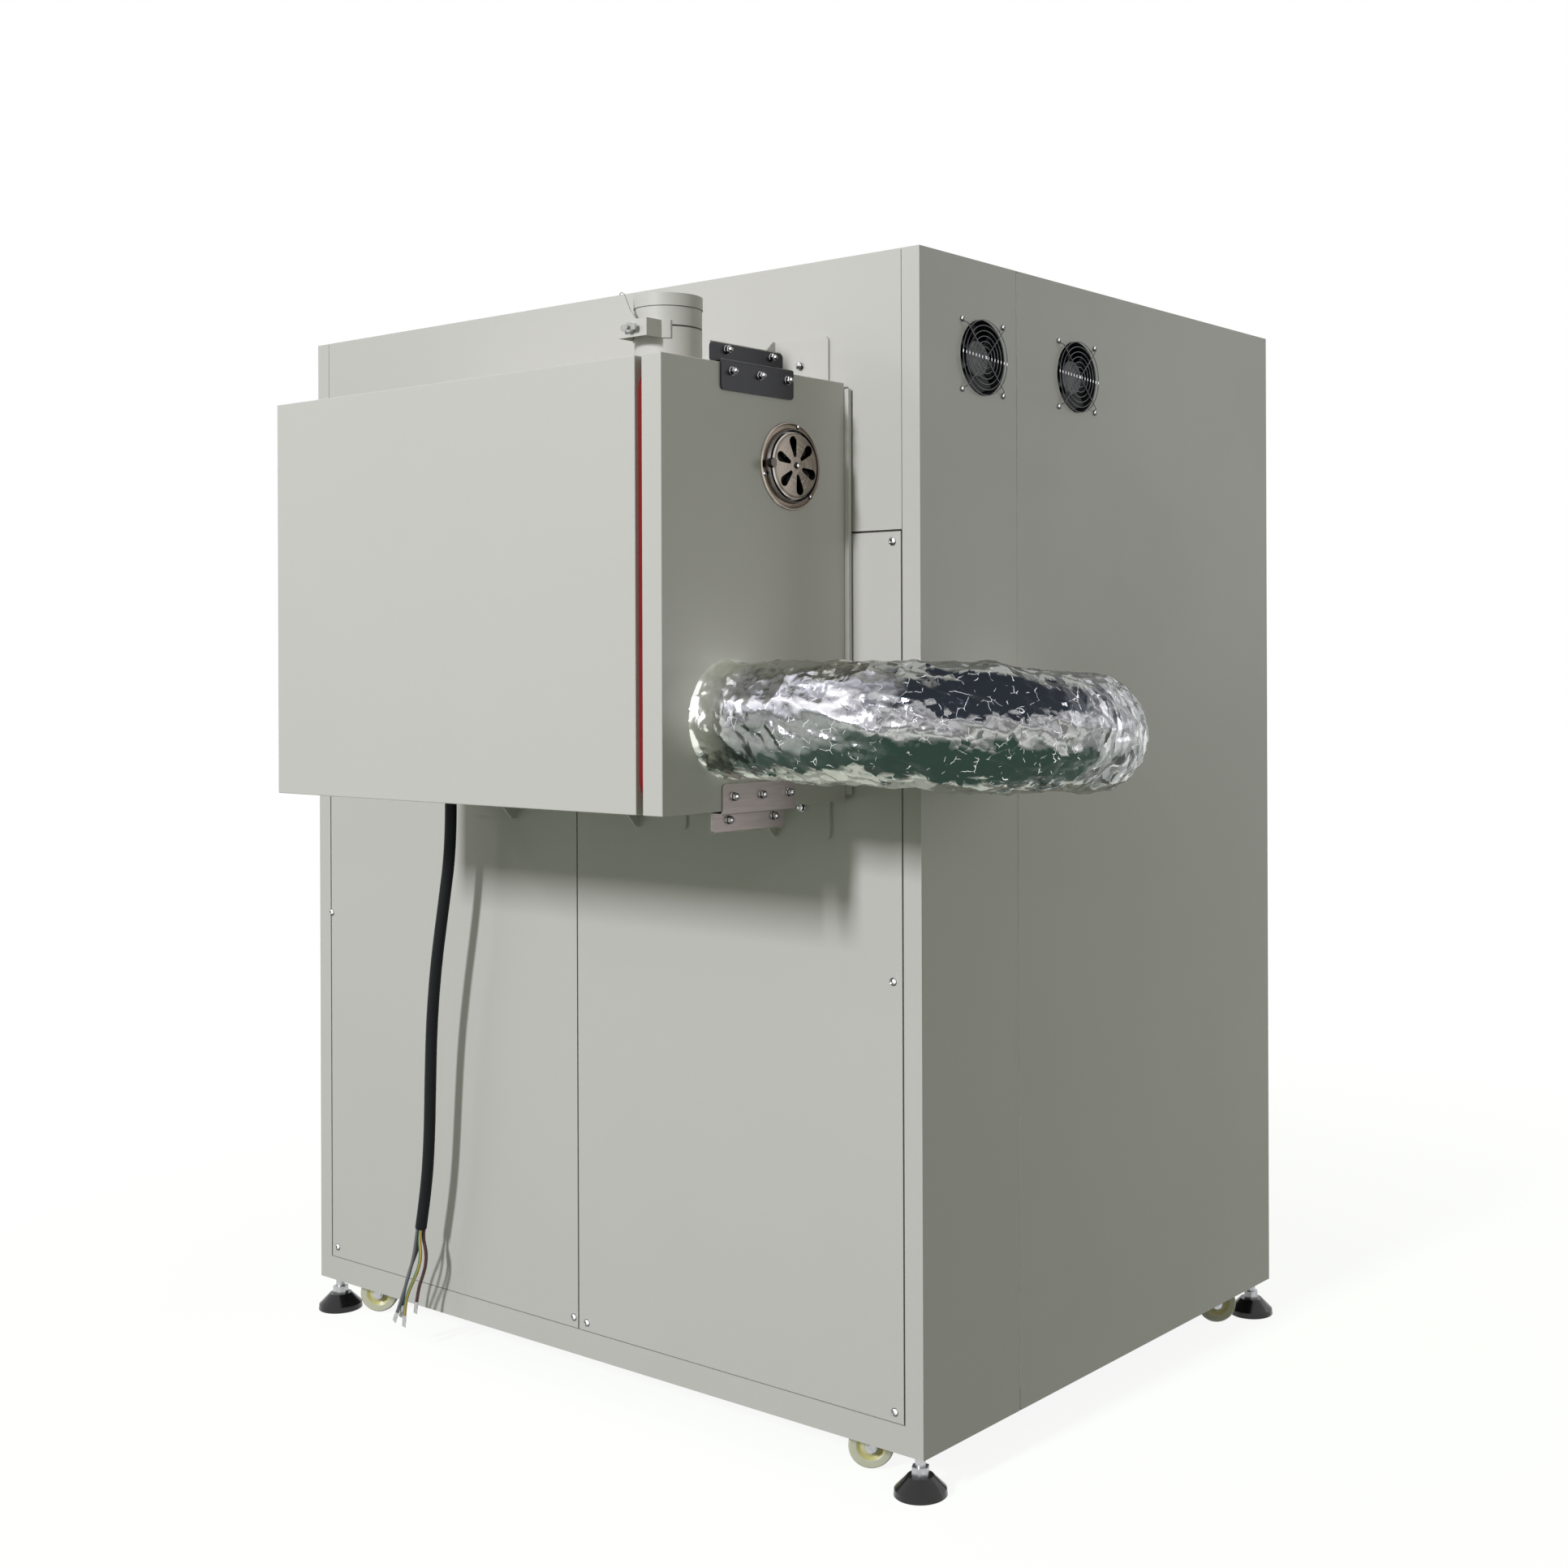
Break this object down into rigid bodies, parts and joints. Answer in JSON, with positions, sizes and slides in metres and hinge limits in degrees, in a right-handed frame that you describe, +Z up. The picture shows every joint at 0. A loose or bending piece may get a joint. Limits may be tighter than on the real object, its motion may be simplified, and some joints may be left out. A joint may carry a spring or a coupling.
{
  "type": "convection drying oven",
  "caption": "Floor-standing cabinet oven seen from the rear: bolted air box with a round vent, exhaust spigot with damper, foil duct to the side, small fans, casters and levelling feet.",
  "frame": {"origin": "floor level under the middle of the overall plan, measured without the supply lead", "axes": "+Z up; -Y out of the rear wall that carries the air box; +X out of the side with the two fans"},
  "size_m": [1.8009, 1.4649, 1.822],
  "materials": {
    "painted_grey": "smooth light warm grey enamel",
    "fan_black": "matt black moulded",
    "bright_wire": "bright plated wire",
    "foot_black": "gloss black",
    "zinc_steel": "zinc plated",
    "wheel_ivory": "cast ivory nylon",
    "gasket_red": "red silicone sponge",
    "stainless": "polished stainless sheet",
    "duct_foil": "crinkled ribbed foil",
    "gland_black": "black nylon",
    "cable_black": "satin black jacket",
    "core_insulation": "insulated cores"
  },
  "bodies": {
    "cabinet": {"base_frame": "painted_grey", "cabinet_body_lower": "painted_grey", "cabinet_body_upper": "painted_grey", "roof_panel": "painted_grey", "side_panel_near": "painted_grey", "side_panel_far": "painted_grey", "opposite_side_panels": "painted_grey", "rear_panel_upper": "painted_grey", "rear_panel_left": "painted_grey", "rear_panel_right": "painted_grey", "front_panels": "painted_grey", "fan_frames": "fan_black", "fan_guards": "bright_wire", "foot_pads": "foot_black", "foot_studs": "zinc_steel", "caster_mounts": "zinc_steel", "box_body": "painted_grey", "box_gasket": "gasket_red", "box_end_cover": "painted_grey", "box_rear_flange": "painted_grey", "gussets_lower": "painted_grey", "gussets_upper": "painted_grey", "lug_angles": "painted_grey", "z_brackets": "stainless", "exhaust_spigot": "painted_grey", "damper_sleeve": "painted_grey", "damper_bracket": "painted_grey", "vent_base": "stainless", "foil_duct": "duct_foil", "cable_gland": "gland_black", "cable_jacket": "cable_black", "cable_cores": "core_insulation", "cable_lugs": "zinc_steel"},
    "fan_rotor_near": {"fan_rotor_near": "fan_black"},
    "fan_rotor_far": {"fan_rotor_far": "fan_black"},
    "damper": {"damper_lever": "stainless"},
    "vent_dish": {"vent_shutter": "stainless"},
    "caster_fork_rear_left": {"caster_fork_rear_left": "zinc_steel"},
    "caster_wheel_rear_left": {"caster_wheel_rear_left": "wheel_ivory"},
    "caster_fork_rear_right": {"caster_fork_rear_right": "zinc_steel"},
    "caster_wheel_rear_right": {"caster_wheel_rear_right": "wheel_ivory"},
    "caster_fork_front_left": {"caster_fork_front_left": "zinc_steel"},
    "caster_wheel_front_left": {"caster_wheel_front_left": "wheel_ivory"},
    "caster_fork_front_right": {"caster_fork_front_right": "zinc_steel"},
    "caster_wheel_front_right": {"caster_wheel_front_right": "wheel_ivory"}
  },
  "joints": [
    {"name": "fan_spin_near", "type": "hinge", "parent": "cabinet", "child": "fan_rotor_near", "pos_m": [0.5385, -0.1865, 1.677], "axis": [1, 0, 0], "continuous": true},
    {"name": "fan_spin_far", "type": "hinge", "parent": "cabinet", "child": "fan_rotor_far", "pos_m": [0.5385, 0.072, 1.677], "axis": [1, 0, 0], "continuous": true},
    {"name": "damper_turn", "type": "hinge", "parent": "cabinet", "child": "damper", "pos_m": [0.257, -0.5545, 1.6955], "axis": [0, 1, 0], "range_deg": [0, 80]},
    {"name": "vent_turn", "type": "hinge", "parent": "cabinet", "child": "vent_dish", "pos_m": [0.4245, -0.4735, 1.5], "axis": [-1, 0, 0], "range_deg": [0, 30]},
    {"name": "caster_swivel_rear_left", "type": "hinge", "parent": "cabinet", "child": "caster_fork_rear_left", "pos_m": [-0.76125, -0.27425, 0.085], "axis": [0, 0, 1], "continuous": true},
    {"name": "wheel_spin_rear_left", "type": "hinge", "parent": "caster_fork_rear_left", "child": "caster_wheel_rear_left", "pos_m": [-0.77866, -0.2877, 0.038], "axis": [0.6115, -0.7912, 0], "continuous": true},
    {"name": "caster_swivel_rear_right", "type": "hinge", "parent": "cabinet", "child": "caster_fork_rear_right", "pos_m": [0.43025, -0.27425, 0.085], "axis": [0, 0, 1], "continuous": true},
    {"name": "wheel_spin_rear_right", "type": "hinge", "parent": "caster_fork_rear_right", "child": "caster_wheel_rear_right", "pos_m": [0.41284, -0.2877, 0.038], "axis": [0.6115, -0.7912, 0], "continuous": true},
    {"name": "caster_swivel_front_left", "type": "hinge", "parent": "cabinet", "child": "caster_fork_front_left", "pos_m": [-0.81725, 0.59325, 0.085], "axis": [0, 0, 1], "continuous": true},
    {"name": "wheel_spin_front_left", "type": "hinge", "parent": "caster_fork_front_left", "child": "caster_wheel_front_left", "pos_m": [-0.79984, 0.6067, 0.038], "axis": [-0.6115, 0.7912, 0], "continuous": true},
    {"name": "caster_swivel_front_right", "type": "hinge", "parent": "cabinet", "child": "caster_fork_front_right", "pos_m": [0.48625, 0.59325, 0.085], "axis": [0, 0, 1], "continuous": true},
    {"name": "wheel_spin_front_right", "type": "hinge", "parent": "caster_fork_front_right", "child": "caster_wheel_front_right", "pos_m": [0.50366, 0.6067, 0.038], "axis": [-0.6115, 0.7912, 0], "continuous": true}
  ]
}
